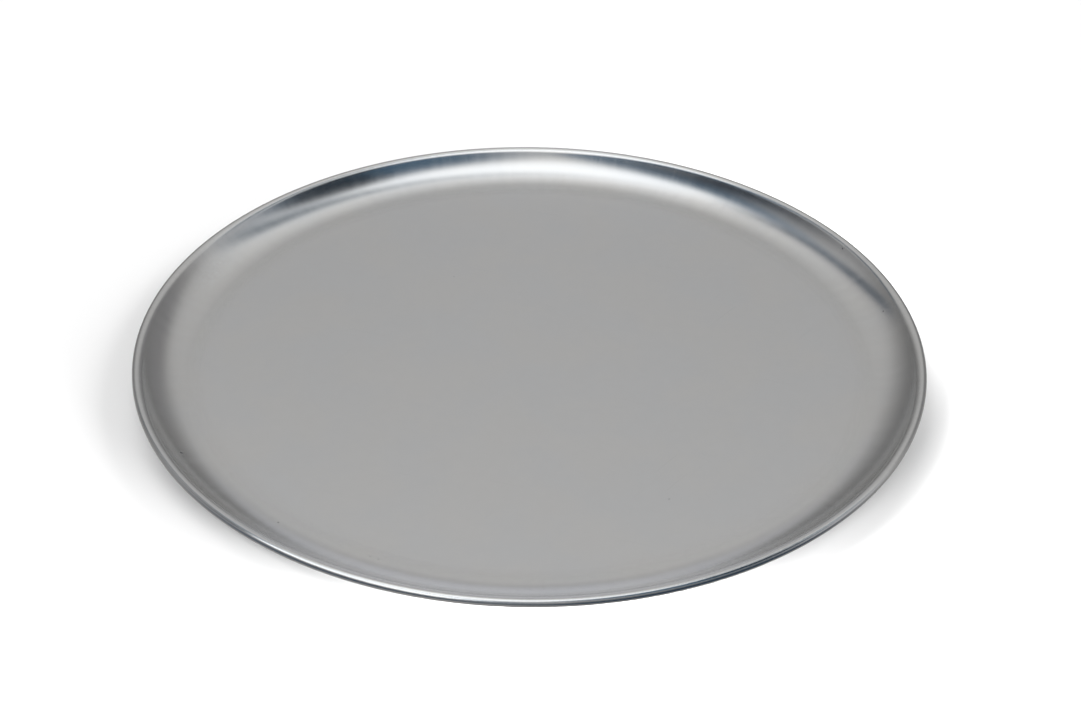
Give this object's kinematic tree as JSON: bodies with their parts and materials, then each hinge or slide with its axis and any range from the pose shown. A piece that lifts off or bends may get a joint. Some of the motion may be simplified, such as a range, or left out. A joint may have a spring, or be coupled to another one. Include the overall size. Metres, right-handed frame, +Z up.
{
  "type": "shallow round pan",
  "caption": "Shallow round pan of bare aluminium with a flat floor, a low curved wall and a rim rolled over a steel wire; holds or carries what lies on its floor.",
  "frame": {"origin": "on the table plane under the pan's axis: the centre of the flat underside", "axes": "+Z is up along the pan's axis, out of its open side; the pan is round, so X and Y are equal, and the wire's cut ends lie on +Y"},
  "size_m": [0.406, 0.406, 0.0125],
  "materials": {
    "aluminium_sheet": "satin mill finish, burnished on the wall and rim",
    "galvanised_wire": "dull galvanised"
  },
  "bodies": {
    "root": {"pan_shell": "aluminium_sheet", "rim_wire": "galvanised_wire"}
  },
  "joints": []
}
